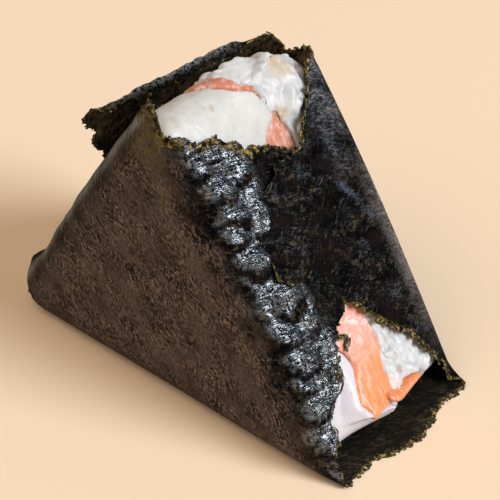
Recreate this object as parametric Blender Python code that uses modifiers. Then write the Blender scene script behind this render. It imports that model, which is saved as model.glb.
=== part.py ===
"""Salmon and cream cheese rice triangle, wrapped in one sheet of seaweed.

The rice block is a triangle that stands on one side. One rectangular sheet passes under it and
up both of its faces. The sheet's side margins fold over the two slanted sides, the back flap
over the front one, and leave the top and the two bottom corners open.

X runs along the side it stands on, Y from its front face to its back face, Z up.
The origin is on the table, in the middle of the sheet's underside.
Lengths are in millimetres until the last step, which turns the finished meshes into metres.
"""

import math
import random

import bmesh
import bpy
from mathutils import Vector
from mathutils.bvhtree import BVHTree

METRE = 0.001

# the wrapped block, as the sheet's middle surface would fold with sharp creases
BASE = 90.0
HEIGHT = 70.0
DEPTH = 42.0
SIDE_BOW = 1.0
FACE_BOW = 1.0

# the sheet of seaweed
SHEET_HALF_WIDTH = 45.5
FRONT_LENGTH = 63.2
BACK_LENGTH = 61.5
# where its torn ends come: the place across the sheet, and how far up the panel the end is
FRONT_END = ((-32.0, 63.2), (-12.0, 63.6), (-5.0, 65.0), (-1.5, 67.6), (0.6, 68.2), (2.2, 64.8), (3.5, 63.0),
             (9.0, 62.2), (15.0, 63.8), (20.5, 62.3), (27.0, 64.3), (33.0, 63.9), (42.0, 63.2))
BACK_END = ((-45.5, 56.4), (-37.7, 58.3), (-28.3, 60.2), (-17.7, 62.2), (-7.0, 62.6), (-3.5, 59.3),
            (0.0, 60.0), (5.0, 63.0), (8.5, 64.5), (12.0, 62.7), (18.6, 60.8), (25.0, 59.4),
            (30.0, 62.2), (38.0, 63.2), (45.5, 61.2))
SHEET_THICK = 0.5
FOLD_RADIUS = 4.0
LAYER_STEP = 1.0
SHEET_COLUMNS = 32
BASE_ROWS = 10
FRONT_FOOT_NOTCH = 1.9
LIFTED_TURN = math.radians(70.0)
FRONT_LEFT_PUFF = 1.4
CORNER_EDGE_BULGE = 3.4
OPEN_EDGE_LIFT = 0.7
TORN_EDGE = 0.6
BUMP_HEIGHT = 0.45
BUMP_PITCH = 9.0

# the rice block inside the sheet
RICE_INSET = 0.65
TOP_RADIUS = 5.5
RIGHT_RADIUS = 4.5
LEFT_RADIUS = 5.6
TUCK_RADIUS = 5.1
RIM_RADIUS = 3.0
TOP_SLUMP = 4.8
CORNER_NOSE = 2.6
GAP = 0.3

# a cooked grain of rice
GRAIN_LENGTH = 6.0
GRAIN_WIDTH = 2.9
GRAIN_PROUD = 1.0
GRAIN_SPACING = 4.3
CLEAR_OF_FACES = 3.5
CLEAR_OF_SHEET = 2.5
CLEAR_OF_FILLING = 1.6
CLEAR_OF_TABLE = 3.0
SEED = 11

LEAN = math.atan2(BASE / 2, HEIGHT)
SIN_LEAN = math.sin(LEAN)
COS_LEAN = math.cos(LEAN)


def smooth(low, high, value):
    """0 below low, 1 above high, and an eased step between them."""
    t = min(1.0, max(0.0, (value - low) / (high - low)))
    return t * t * (3 - 2 * t)


def crease_x(z):
    """Half the width of the triangle's face at height z."""
    return BASE / 2 * (1 - z / HEIGHT)


def swell(x, y, z):
    """Pressed rice is not flat: its slanted sides and its faces bow out a little."""
    t = min(1.0, max(0.0, z / HEIGHT))
    across = max(0.0, 1 - (2 * x / BASE) ** 2)
    wider = 1 + SIDE_BOW * 8 * t / BASE
    deeper = 1 + FACE_BOW * 8 * t * (1 - t) * across / DEPTH
    return Vector((x * wider, y * deeper, z))


def panel_end(front, u):
    """How far up its panel the torn sheet reaches at u across it."""
    ends = FRONT_END if front else BACK_END
    if u <= ends[0][0]:
        return ends[0][1]
    for (a, low), (b, high) in zip(ends, ends[1:]):
        if u <= b:
            return low + (high - low) * (u - a) / (b - a)
    return ends[-1][1]


def clear_scene():
    for old in list(bpy.data.objects):
        bpy.data.objects.remove(old, do_unlink=True)


def collection(name):
    made = bpy.data.collections.new(name)
    bpy.context.scene.collection.children.link(made)
    return made


def material(name, colour, roughness):
    made = bpy.data.materials.new(name)
    made.use_nodes = True
    shader = made.node_tree.nodes["Principled BSDF"]
    shader.inputs["Base Color"].default_value = (*colour, 1.0)
    shader.inputs["Roughness"].default_value = roughness
    shader.inputs["Metallic"].default_value = 0.0
    return made


def add_mesh_object(name, bm, home):
    mesh = bpy.data.meshes.new(name)
    bm.to_mesh(mesh)
    bm.free()
    made = bpy.data.objects.new(name, mesh)
    home.objects.link(made)
    return made


def apply_modifiers(obj):
    """Keep what the modifiers make, as the object's own mesh."""
    shape = bpy.data.meshes.new_from_object(obj.evaluated_get(bpy.context.evaluated_depsgraph_get()))
    obj.modifiers.clear()
    obj.data = shape


def cut(obj, operation, other, solver="EXACT"):
    """Boolean of two objects, applied. The thin layers' later cuts need the manifold solver."""
    step = obj.modifiers.new("cut", "BOOLEAN")
    step.operation = operation
    step.object = other
    step.solver = solver
    apply_modifiers(obj)


def keep_largest_body(obj):
    """Drop the loose scraps that a cut leaves."""
    bm = bmesh.new()
    bm.from_mesh(obj.data)
    left = set(bm.verts)
    bodies = []
    while left:
        body = {left.pop()}
        edge_of_body = list(body)
        while edge_of_body:
            vert = edge_of_body.pop()
            for link in vert.link_edges:
                other = link.other_vert(vert)
                if other in left:
                    left.discard(other)
                    body.add(other)
                    edge_of_body.append(other)
        bodies.append(body)
    bodies.sort(key=len)
    scraps = [vert for body in bodies[:-1] for vert in body]
    bmesh.ops.delete(bm, geom=scraps, context="VERTS")
    bm.to_mesh(obj.data)
    bm.free()


# the rice block


def block_core(name, home):
    """The pressed block: a triangle with rounded corners and rims, a little bowed."""
    half_depth = DEPTH / 2 - RICE_INSET
    low = RICE_INSET
    high = HEIGHT - RICE_INSET / SIN_LEAN
    half_base = (high - low) * math.tan(LEAN)
    bm = bmesh.new()
    bmesh.ops.create_cone(bm, cap_ends=True, segments=3, radius1=1, radius2=1, depth=2)
    corners = ((half_base, low), (0.0, high), (-half_base, low))
    by_angle = sorted({round(math.atan2(v.co.y, v.co.x), 3) for v in bm.verts})
    for vert in bm.verts:
        x, z = corners[by_angle.index(round(math.atan2(vert.co.y, vert.co.x), 3))]
        vert.co = Vector((x, half_depth * vert.co.z, z))
    bmesh.ops.recalc_face_normals(bm, faces=bm.faces)
    round_long_edge(bm, 0.0, TOP_RADIUS, 2 * LEAN)
    round_long_edge(bm, half_base, RIGHT_RADIUS, math.pi / 2 - LEAN)
    round_long_edge(bm, -half_base, LEFT_RADIUS, math.pi / 2 - LEAN)
    rims = [edge for edge in bm.edges if all(abs(abs(v.co.y) - half_depth) < 0.01 for v in edge.verts)]
    rims = [edge for edge in rims if edge.verts[0].co.y * edge.verts[1].co.y > 0]
    bmesh.ops.bevel(bm, geom=rims, offset=RIM_RADIUS, offset_type="OFFSET", segments=3, profile=0.5,
                    affect="EDGES", clamp_overlap=True)
    cross_cuts = ((Vector((0, 0, 1)), (8, 18, 28, 38, 48, 54, 60)),
                  (Vector((1, 0, 0)), (-30, -20, -10, 0, 10, 20, 30)),
                  (Vector((0, 1, 0)), (-13, -7, -1, 5, 10, 14)))
    for direction, places in cross_cuts:
        for place in places:
            everything = bm.verts[:] + bm.edges[:] + bm.faces[:]
            bmesh.ops.bisect_plane(bm, geom=everything, plane_co=direction * place, plane_no=direction)
    for vert in bm.verts:
        vert.co = swell(*settle(*vert.co))
    bmesh.ops.triangulate(bm, faces=bm.faces)
    return add_mesh_object(name, bm, home)


def settle(x, y, z):
    """The top falls away towards the back, and the filling swells out of the right corner."""
    drop = TOP_SLUMP * smooth(6.0, 19.0, y) * smooth(46.0, 64.0, z)
    nose = CORNER_NOSE * math.exp(-((y + 5.5) / 4) ** 2) + 0.8 * smooth(12.0, 6.0, abs(y))
    nose -= 1.6 * smooth(-11.0, -17.0, y)
    return x + nose * smooth(30.0, 39.0, x), y, z - drop


def round_long_edge(bm, x, radius, angle):
    """Round the block's long edge at x, where two sides meet at the given angle."""
    edges = [edge for edge in bm.edges
             if abs(edge.verts[0].co.y - edge.verts[1].co.y) > 1
             and all(abs(vert.co.x - x) < 0.01 for vert in edge.verts)]
    bmesh.ops.bevel(bm, geom=edges, offset=radius / math.tan(angle / 2), offset_type="OFFSET",
                    segments=6, profile=0.5, affect="EDGES", clamp_overlap=False)


# the filling: layers that run from the top opening to the right bottom corner

# stations along the filling's middle: x, z, half width of cheese, half width of salmon
FILLING = (
    (-1.0, 84.0, 17.0, 5.0),
    (0.5, 62.0, 15.0, 4.9),
    (2.5, 52.0, 12.0, 5.2),
    (6.5, 43.0, 6.5, 4.5),
    (12.5, 33.0, 6.0, 4.5),
    (18.5, 24.0, 7.5, 5.0),
    (27.0, 13.5, 13.0, 9.0),
    (38.0, 5.5, 16.0, 11.5),
    (54.0, -5.0, 18.0, 13.0),
)
CHEESE_FRONT = -30.0

# loose bits of salmon: middle, half sizes, and the way the long one points
TOP_FLAKE = dict(centre=(10.2, 3.6, 52.8), size=(5.6, 3.0, 2.8), tip=(-0.5, 0.05, 0.9))
CORNER_FLAKE = dict(centre=(40.6, 5.6, 5.0), size=(5.4, 3.4, 1.3), tip=(0.0, 1.0, 0.22))


def boundary_y(x, z):
    """How far back the cheese reaches: it slants across the top and is straight lower down."""
    at_top = max(-6.0, min(4.0, -2.6 + 0.8 * (x - 1)))
    at_corner = -3.0 - 5.2 * smooth(15.0, 5.0, z)
    return at_corner + (at_top - at_corner) * smooth(26.0, 50.0, z)


def salmon_thick(z):
    """The salmon lies flat at the corner and shows only its edge at the top."""
    return 6.2 - 4.2 * smooth(18.0, 50.0, z)


def bar(name, home, width_column, y_front, y_back, extra):
    """A bar along the filling's stations, wide in the XZ plane, from y_front to y_back."""
    across_cells = 6
    bm = bmesh.new()
    rows = []
    last = len(FILLING) - 1
    for i, station in enumerate(FILLING):
        x, z = station[:2]
        ahead = FILLING[min(i + 1, last)]
        behind = FILLING[max(i - 1, 0)]
        along = Vector((ahead[0] - behind[0], ahead[1] - behind[1])).normalized()
        side = Vector((-along.y, along.x))
        half = station[width_column] + extra
        row = []
        for j in range(across_cells + 1):
            spot = Vector((x, z)) + side * half * (2 * j / across_cells - 1)
            front = bm.verts.new((spot.x, y_front(*spot) - extra, spot.y))
            back = bm.verts.new((spot.x, y_back(*spot) + extra, spot.y))
            row.append((front, back))
        rows.append(row)
    for a, b in zip(rows, rows[1:]):
        for j in range(across_cells):
            bm.faces.new((a[j][0], a[j + 1][0], b[j + 1][0], b[j][0]))
            bm.faces.new((a[j][1], b[j][1], b[j + 1][1], a[j + 1][1]))
        bm.faces.new((a[0][0], b[0][0], b[0][1], a[0][1]))
        bm.faces.new((a[-1][0], a[-1][1], b[-1][1], b[-1][0]))
    for row in (rows[0], rows[-1]):
        for a, b in zip(row, row[1:]):
            bm.faces.new((a[0], a[1], b[1], b[0]))
    bmesh.ops.recalc_face_normals(bm, faces=bm.faces)
    bmesh.ops.triangulate(bm, faces=bm.faces)
    return add_mesh_object(name, bm, home)


def cheese_bar(name, home, extra):
    return bar(name, home, 2, lambda x, z: CHEESE_FRONT, lambda x, z: boundary_y(x, z) - GAP / 2, extra)


def salmon_bar(name, home, extra):
    return bar(name, home, 3, lambda x, z: boundary_y(x, z) + GAP / 2,
               lambda x, z: boundary_y(x, z) + GAP / 2 + salmon_thick(z), extra)


def flake(name, home, centre, size, tip, extra):
    """A loose bit of salmon: a rounded wedge pushed into the block, its long axis towards tip."""
    bm = bmesh.new()
    bmesh.ops.create_uvsphere(bm, u_segments=10, v_segments=6, radius=1)
    turn = Vector(tip).to_track_quat("X", "Z")
    for vert in bm.verts:
        x, y, z = vert.co
        blunt = 1 - 0.35 * x
        local = Vector((x * (size[0] + extra), y * blunt * (size[1] + extra), z * (size[2] + extra)))
        vert.co = turn @ local + Vector(centre)
    return add_mesh_object(name, bm, home)


# rice grains where the block shows


def covered(y, z, side_sign, margin):
    """Whether the sheet lies over this point of a slanted side, or is closer than margin."""
    for front in (True, False):
        from_crease = (DEPTH / 2 + y) if front else (DEPTH / 2 - y)
        sheet_z = z + from_crease * math.tan(LEAN) * COS_LEAN
        sheet_u = crease_x(sheet_z) + from_crease / COS_LEAN
        end = max(panel_end(front, side_sign * (sheet_u + beside)) for beside in (-2.0, 0.0, 2.0))
        if sheet_u < SHEET_HALF_WIDTH + margin and sheet_z < end + margin:
            return True
    return False


def grain_places(core):
    """Spots and directions for the grains: rays from the block's inside, in rows along Y."""
    draw = random.Random(SEED)
    mesh = bmesh.new()
    mesh.from_mesh(core.data)
    surface = BVHTree.FromBMesh(mesh)
    mesh.free()
    fans = (
        (Vector((0, 0, 46.0)), 16.0, range(-60, 61), 1),
        (Vector((27.0, 0, 9.0)), 14.0, range(-25, 70), 1),
        (Vector((-27.0, 0, 9.0)), 14.0, range(110, 205), -1),
    )
    places = []
    for number, (centre, reach, degrees, side_sign) in enumerate(fans):
        step = max(1, round(math.degrees(GRAIN_SPACING / reach)))
        for y_step in range(-4, 5):
            for degree in degrees[::step]:
                y = y_step * GRAIN_SPACING + draw.uniform(-0.7, 0.7)
                angle = math.radians(degree + draw.uniform(-4, 4) + (step / 2 if y_step % 2 else 0))
                if number == 0:
                    out = Vector((math.sin(angle), 0, math.cos(angle)))
                else:
                    out = Vector((math.cos(angle), 0, math.sin(angle)))
                turn = draw.uniform(0, math.pi)
                start = Vector((centre.x, y, centre.z)) + out * 60
                spot, normal, _, _ = surface.ray_cast(start, -out)
                if spot is None or abs(spot.y) > DEPTH / 2 - CLEAR_OF_FACES:
                    continue
                here = 1 if spot.x > 0 else -1
                if covered(spot.y, spot.z, here, CLEAR_OF_SHEET):
                    continue
                right_side = number < 2
                filling_back = boundary_y(spot.x, spot.z) + salmon_thick(spot.z)
                if right_side and spot.x > -9 and spot.y < filling_back + CLEAR_OF_FILLING:
                    continue
                if spot.z < CLEAR_OF_TABLE:
                    continue
                places.append((spot, normal, turn))
    return places


def grain(name, home, spot, normal, turn):
    """A grain: a long ball of few sides, sunk into the block."""
    bm = bmesh.new()
    bmesh.ops.create_uvsphere(bm, u_segments=6, v_segments=4, radius=0.5)
    upright = normal.to_track_quat("Z", "X")
    centre = spot + normal * (GRAIN_PROUD - GRAIN_WIDTH / 2)
    for vert in bm.verts:
        x, y, z = vert.co
        around = Vector((z * GRAIN_LENGTH, y * GRAIN_WIDTH, x * GRAIN_WIDTH))
        spun = Vector((around.x * math.cos(turn) - around.y * math.sin(turn),
                       around.x * math.sin(turn) + around.y * math.cos(turn), around.z))
        vert.co = upright @ spun + centre
    bmesh.ops.recalc_face_normals(bm, faces=bm.faces)
    return add_mesh_object(name, bm, home)


def fuse_grains(core, home):
    """Join the grains to the block in one union."""
    pile = collection("grains")
    for number, place in enumerate(grain_places(core)):
        grain(f"grain_{number}", pile, *place)
    step = core.modifiers.new("grains", "BOOLEAN")
    step.operation = "UNION"
    step.operand_type = "COLLECTION"
    step.collection = pile
    apply_modifiers(core)
    for each in list(pile.objects):
        bpy.data.objects.remove(each, do_unlink=True)
    bpy.data.collections.remove(pile)


# the sheet


def bend(past, radius, turn):
    """A point that lies past a crease: how far it comes along the first panel, and in from it."""
    half_arc = radius * turn / 2
    reach = radius * math.tan(turn / 2)
    if past < -half_arc:
        return past + half_arc - reach, 0.0
    if past < half_arc:
        angle = (past + half_arc) / radius
        return radius * math.sin(angle) - reach, radius * (1 - math.cos(angle))
    rest = past - half_arc
    along = radius * math.sin(turn) - reach + rest * math.cos(turn)
    return along, radius * (1 - math.cos(turn)) + rest * math.sin(turn)


def tuck(x, z, raised):
    """At the left bottom corner the sheet hugs the block's round corner."""
    radius = TUCK_RADIUS
    half_angle = (math.pi / 2 - LEAN) / 2
    centre = Vector((-(BASE / 2 - radius / math.tan(half_angle)), radius))
    arm = Vector((x, z)) - centre
    down = -arm.y
    out = -arm.x * COS_LEAN + arm.y * SIN_LEAN
    between = arm.x <= 0 and arm.x * SIN_LEAN + arm.y * COS_LEAN <= 0
    if not between or arm.length < 1e-6:
        return x, z
    spot = centre + arm.normalized() * min(max(down, out), radius + raised + 0.1)
    return spot.x, spot.y


def fold(u, v):
    """Where a point of the flat sheet comes to lie. u runs across the sheet, v along it."""
    side = 1 if u >= 0 else -1
    front = v < 0
    up_panel = abs(v) - DEPTH / 2
    down, inward = bend(-up_panel, FOLD_RADIUS, math.pi / 2)
    x, z = abs(u), -down
    lift = smooth(12.0, 60.0, z)
    turn = math.pi / 2
    if side < 0 and not front:
        turn -= (math.pi / 2 - LIFTED_TURN) * lift
    radius = max(1.0, min(FOLD_RADIUS, 1.05 * crease_x(z)))
    past = (x - crease_x(z)) * COS_LEAN
    along, over = bend(past, radius, turn)
    on_flap = smooth(0.0, 6.0, past)
    raised = 0.0
    if not front:
        raised += LAYER_STEP * on_flap
    elif side < 0:
        raised += FRONT_LEFT_PUFF * lift * math.sin(math.pi * min(1.0, max(0.0, past / 18)))
    if side > 0 and front:
        raised += OPEN_EDGE_LIFT * smooth(38.0, 45.0, x) * smooth(44.0, 30.0, z)
        raised += BUMP_HEIGHT * grain_bumps(x, v) * on_flap * smooth(20.0, 16.0, past)
    k = smooth(0.0, FOLD_RADIUS, z)
    shift = (along + raised - past) * k * smooth(0.0, 0.6 * crease_x(z) + 0.5, x)
    x += shift * COS_LEAN
    z += shift * SIN_LEAN
    # the folds' round corners take up less sheet than sharp ones: the middle stays where it is
    y = DEPTH / 2 - inward - over * k + FOLD_RADIUS * (1 - math.pi / 4) * smooth(14.0, 0.0, abs(v))
    x *= side
    if side < 0:
        x, z = tuck(x, z, raised)
    return swell(x, -y if front else y, z)


def grain_bumps(u, v):
    """Rice grains press through the sheet: a soft two-way ripple between 0 and 1."""
    ripple = math.sin(2 * math.pi * u / BUMP_PITCH + 1.3 * math.sin(v / 6.0))
    ripple *= math.sin(2 * math.pi * v / (0.8 * BUMP_PITCH) + 1.1 * math.sin(u / 5.0))
    return (1 + ripple) / 2


def sheet_edge(u, v, draw):
    """Move a point of the flat rectangle so that its outline is the torn sheet's."""
    front = v < 0
    length = DEPTH / 2 + (FRONT_LENGTH if front else BACK_LENGTH)
    worn = 3.0
    a = (abs(u) - (SHEET_HALF_WIDTH - worn)) / worn
    b = (abs(v) - (length - worn)) / worn
    sign_u = math.copysign(1, u)
    sign_v = math.copysign(1, v)
    on_edge = a > 0.999 or b > 0.999
    if a > 0 and b > 0:
        a_round = a * math.sqrt(1 - b * b / 2)
        b_round = b * math.sqrt(1 - a * a / 2)
        u += sign_u * (a_round - a) * worn
        v += sign_v * (b_round - b) * worn
    further = panel_end(front, u) + DEPTH / 2 - length
    v += sign_v * further * smooth(length - 14, length, abs(v))
    if u > 0:
        near_side = smooth(SHEET_HALF_WIDTH - 9, SHEET_HALF_WIDTH, u)
        bulge = CORNER_EDGE_BULGE * smooth(-20.0, 3.0, v) * smooth(23.0, 12.0, v)
        up_flap = abs(v) - DEPTH / 2
        notch = FRONT_FOOT_NOTCH * smooth(0.0, 5.0, up_flap) * smooth(34.0, 20.0, up_flap) * front
        u += (bulge - notch) * near_side
    if on_edge:
        u += draw.uniform(-1, 1) * TORN_EDGE * (1 if a > 0.999 else 0.3)
        v += draw.uniform(-1, 1) * TORN_EDGE * (1 if b > 0.999 else 0.3)
    return u, v


def sheet_rows():
    """Lines across the sheet: even ones on each panel, with two more beside each base crease."""
    pitch = HEIGHT / (SHEET_COLUMNS / 2)
    rows = [DEPTH * (i / BASE_ROWS - 0.5) for i in range(BASE_ROWS + 1)]
    rows += [side * (DEPTH / 2 + beside) for side in (-1, 1) for beside in (-0.5 * DEPTH / BASE_ROWS, pitch / 2)]
    for side, length in ((-1, FRONT_LENGTH), (1, BACK_LENGTH)):
        whole = int(length / pitch - 0.3)
        rows += [side * (DEPTH / 2 + pitch * i) for i in range(1, whole + 1)]
        rows.append(side * (DEPTH / 2 + length))
    return sorted(rows)


def sheet_columns():
    pitch = BASE / SHEET_COLUMNS
    inner = [(i - SHEET_COLUMNS / 2) * pitch for i in range(1, SHEET_COLUMNS)]
    return [-SHEET_HALF_WIDTH] + inner + [SHEET_HALF_WIDTH]


def seaweed_sheet(home):
    """The whole wrap: a flat grid, torn at its edge, folded, and given its thickness."""
    draw = random.Random(SEED)
    columns = sheet_columns()
    rows = sheet_rows()
    bm = bmesh.new()
    bmesh.ops.create_grid(bm, x_segments=len(columns) - 1, y_segments=len(rows) - 1, size=1)
    for vert in bm.verts:
        i = round((vert.co.x + 1) / 2 * (len(columns) - 1))
        j = round((vert.co.y + 1) / 2 * (len(rows) - 1))
        vert.co = Vector((columns[i], rows[j], 0))
    split_along_creases(bm)
    for vert in bm.verts:
        u, v = sheet_edge(vert.co.x, vert.co.y, draw)
        vert.co = fold(u, v)
    sheet = add_mesh_object("nori_sheet", bm, home)
    wall = sheet.modifiers.new("wall", "SOLIDIFY")
    wall.thickness = SHEET_THICK
    wall.offset = 0.0
    apply_modifiers(sheet)
    return sheet


def split_along_creases(bm):
    """Halve each cell by the diagonal that runs with the slanted crease beside it."""
    for face in list(bm.faces):
        middle = face.calc_center_median()
        way = -math.copysign(1, middle.x) * math.copysign(1, middle.y)
        ends = [v for v in face.verts if (v.co.x - middle.x) * (v.co.y - middle.y) * way > 0]
        bmesh.utils.face_split(face, ends[0], ends[1])


def rest_on_table(objects):
    """Turn millimetres into metres and set the sheet's underside on the table."""
    for obj in objects:
        for vert in obj.data.vertices:
            vert.co = (vert.co + Vector((0, 0, SHEET_THICK / 2))) * METRE


def dress(obj, finish):
    obj.data.materials.clear()
    obj.data.materials.append(finish)
    for face in obj.data.polygons:
        face.material_index = 0
    obj.data.shade_smooth()
    obj.data.set_sharp_from_angle(angle=math.radians(40))


def build():
    clear_scene()
    parts = collection("salmon_cream_cheese_onigiri")
    cutters = collection("cutters")

    rice = block_core("rice", parts)
    cheese = block_core("cream_cheese", parts)
    salmon = block_core("salmon_strip", parts)
    top_bit = block_core("salmon_top_flake", parts)
    corner_bit = block_core("salmon_corner_flake", parts)
    fuse_grains(rice, parts)

    cuts = {
        "cheese": cheese_bar("cheese_shape", cutters, 0.0),
        "cheese_room": cheese_bar("cheese_room", cutters, GAP),
        "salmon": salmon_bar("salmon_shape", cutters, 0.0),
        "salmon_room": salmon_bar("salmon_room", cutters, GAP),
        "top_bit": flake("top_flake_shape", cutters, extra=0.0, **TOP_FLAKE),
        "top_bit_room": flake("top_flake_room", cutters, extra=GAP, **TOP_FLAKE),
        "corner_bit": flake("corner_flake_shape", cutters, extra=0.0, **CORNER_FLAKE),
        "corner_bit_room": flake("corner_flake_room", cutters, extra=GAP, **CORNER_FLAKE),
    }
    cut(cheese, "INTERSECT", cuts["cheese"])
    cut(salmon, "INTERSECT", cuts["salmon"])
    cut(top_bit, "INTERSECT", cuts["top_bit"])
    cut(corner_bit, "INTERSECT", cuts["corner_bit"])
    cut(corner_bit, "DIFFERENCE", cuts["salmon_room"])
    for room in ("cheese_room", "salmon_room", "top_bit_room", "corner_bit_room"):
        cut(rice, "DIFFERENCE", cuts[room], "MANIFOLD")
    for room in ("salmon_room", "top_bit_room"):
        cut(cheese, "DIFFERENCE", cuts[room], "MANIFOLD")
    cut(salmon, "DIFFERENCE", cuts["top_bit_room"], "MANIFOLD")
    nori = seaweed_sheet(parts)

    finishes = {
        rice: material("rice", (0.83, 0.83, 0.81), 0.45),
        cheese: material("cream_cheese", (0.86, 0.84, 0.79), 0.4),
        salmon: material("salmon", (0.85, 0.36, 0.20), 0.4),
        top_bit: material("salmon_top_flake", (0.80, 0.30, 0.18), 0.4),
        corner_bit: material("salmon_corner_flake", (0.86, 0.36, 0.18), 0.4),
        nori: material("nori", (0.030, 0.028, 0.022), 0.5),
    }
    for obj in (rice, cheese, salmon, top_bit, corner_bit):
        keep_largest_body(obj)
    for old in list(cutters.objects):
        bpy.data.objects.remove(old, do_unlink=True)
    bpy.data.collections.remove(cutters)
    rest_on_table(finishes)
    for obj, finish in finishes.items():
        dress(obj, finish)


build()
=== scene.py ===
"""The looks of the salmon and cream cheese rice triangle: seaweed, rice, cheese and salmon.

Lengths are in millimetres in the shape functions, and in metres in the scene.
"""

import math

import bmesh
import bpy
import numpy as np
from mathutils import Matrix, Vector
from mathutils.bvhtree import BVHTree


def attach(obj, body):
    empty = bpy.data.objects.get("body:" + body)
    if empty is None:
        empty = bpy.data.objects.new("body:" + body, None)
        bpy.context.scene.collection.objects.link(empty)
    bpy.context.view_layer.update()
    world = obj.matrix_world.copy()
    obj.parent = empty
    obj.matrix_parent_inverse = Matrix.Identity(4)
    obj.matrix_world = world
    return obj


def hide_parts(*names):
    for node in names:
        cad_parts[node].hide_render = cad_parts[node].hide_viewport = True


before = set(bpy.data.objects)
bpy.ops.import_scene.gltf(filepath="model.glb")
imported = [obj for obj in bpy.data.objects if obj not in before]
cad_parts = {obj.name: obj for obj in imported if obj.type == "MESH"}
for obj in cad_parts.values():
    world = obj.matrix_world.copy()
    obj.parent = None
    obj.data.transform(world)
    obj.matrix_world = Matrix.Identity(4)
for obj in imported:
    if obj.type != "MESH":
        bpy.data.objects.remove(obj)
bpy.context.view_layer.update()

MM = 0.001

# the wrapped block, as in the solid model
BASE = 90.0
HEIGHT = 70.0
DEPTH = 42.0
SIDE_BOW = 1.0
FACE_BOW = 1.0
LEAN = math.atan2(BASE / 2, HEIGHT)
SIN_LEAN = math.sin(LEAN)
COS_LEAN = math.cos(LEAN)
SHEET_HALF_WIDTH = 45.5
FRONT_LENGTH = 63.2
BACK_LENGTH = 61.5
FOLD_RADIUS = 4.0
TUCK_RADIUS = 5.1
LAYER_STEP = 1.0
FRONT_LEFT_PUFF = 1.4
OPEN_EDGE_LIFT = 0.7
# the sheet is thinner than in the solid model
NORI_THICK = 0.34
# how much less than square the left back flap is folded, at the most
LIFTED_BY = math.radians(20.0)
# the top edge of the lifted back flap rolls in over this much of the sheet
ROLL_LENGTH = 3.4
ROLL_RADIUS = 1.15
# a short way along the sheet, over which its slope is found
NUDGE = 0.05
# where its torn ends come, up to 1.4 further out than in the solid model: the place across the
# sheet, and how far up the panel the end is
FRONT_END = ((-32.0, 63.2), (-12.0, 63.6), (-5.0, 65.4), (-1.5, 69.0), (0.6, 69.6), (2.4, 65.2), (3.5, 63.4),
             (9.0, 63.2), (15.0, 64.5), (20.5, 63.4), (27.0, 64.3), (33.0, 63.9), (42.0, 63.2))
BACK_END = ((-45.5, 57.4), (-41.0, 58.6), (-37.7, 59.0), (-28.3, 60.2), (-17.7, 62.2), (-7.0, 62.6),
            (-3.5, 59.3), (0.0, 60.0), (5.0, 63.0), (8.5, 64.5), (12.0, 62.7), (18.6, 60.8),
            (25.0, 59.4), (30.0, 62.2), (38.0, 63.2), (45.5, 61.2))
# where its right side comes, which is straighter in the solid model: the place along the sheet, from
# the front's end to the back's, and how far out the side is
RIGHT_SIDE = ((-84.0, 45.5), (-55.7, 45.6), (-53.3, 45.2), (-51.7, 43.7), (-47.5, 43.5), (-43.8, 44.6),
              (-40.8, 44.6), (-37.2, 42.9), (-33.4, 42.2), (-31.3, 43.5), (-26.0, 43.6), (-22.0, 46.2),
              (-17.0, 46.2), (-11.5, 45.3), (-9.7, 45.8), (-6.0, 47.9), (-1.6, 48.9), (2.4, 49.3),
              (7.7, 48.3), (9.8, 47.2), (12.8, 47.3), (17.0, 47.7), (21.0, 47.6), (24.0, 46.8),
              (27.5, 45.6), (34.0, 45.0), (39.3, 44.8), (44.0, 45.8), (55.0, 46.2), (61.8, 45.7),
              (67.6, 46.1), (68.8, 48.2), (72.0, 49.8), (74.3, 50.6), (75.6, 49.2), (78.4, 46.8),
              (81.8, 45.7))
# the seaweed's grid: fine near its torn edges and wider inside
EDGE_BAND = 6.6
EDGE_CELL = 0.33
INNER_CELL = 0.68


# helpers


def ease(low, high, value):
    t = np.clip((value - low) / (high - low), 0.0, 1.0)
    return t * t * (3 - 2 * t)


def scatter(i, j, seed):
    """An even random number from 0 to 1 for each pair of whole numbers."""
    mixed = np.sin(i * 127.1 + j * 311.7 + seed * 74.7) * 43758.5453
    return mixed - np.floor(mixed)


def cloud(x, y, size, seed):
    """Smooth noise from -1 to 1 whose lumps are about size across."""
    x, y = x / size, y / size
    i, j = np.floor(x), np.floor(y)
    s, t = ease(0, 1, x - i), ease(0, 1, y - j)
    low = scatter(i, j, seed) * (1 - s) + scatter(i + 1, j, seed) * s
    high = scatter(i, j + 1, seed) * (1 - s) + scatter(i + 1, j + 1, seed) * s
    return 2 * (low * (1 - t) + high * t) - 1


def look_up(rows, value, column=1):
    """Read a table whose first column is the place, with straight lines between its rows."""
    return np.interp(value, [row[0] for row in rows], [row[column] for row in rows])


def only(thing):
    bpy.ops.object.select_all(action="DESELECT")
    thing.select_set(True)
    bpy.context.view_layer.objects.active = thing


def read_points(thing):
    points = np.empty(len(thing.data.vertices) * 3, np.float32)
    thing.data.vertices.foreach_get("co", points)
    return points.reshape(-1, 3).astype(float)


def write_points(thing, points):
    thing.data.vertices.foreach_set("co", np.ascontiguousarray(points, np.float32).ravel())
    thing.data.update()


def read_normals(thing):
    normals = np.empty(len(thing.data.vertices) * 3, np.float32)
    thing.data.vertices.foreach_get("normal", normals)
    return normals.reshape(-1, 3).astype(float)


def paint(thing, name, values):
    """Store one number a point, which the thing's material reads by name."""
    layer = thing.data.attributes.new(name, "FLOAT", "POINT")
    layer.data.foreach_set("value", np.ascontiguousarray(values, np.float32).ravel())


def add_modifier(thing, kind, **settings):
    """Add a modifier and apply it at once."""
    only(thing)
    step = thing.modifiers.new(kind.lower(), kind)
    for key, value in settings.items():
        setattr(step, key, value)
    bpy.ops.object.modifier_apply(modifier=step.name)


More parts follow.
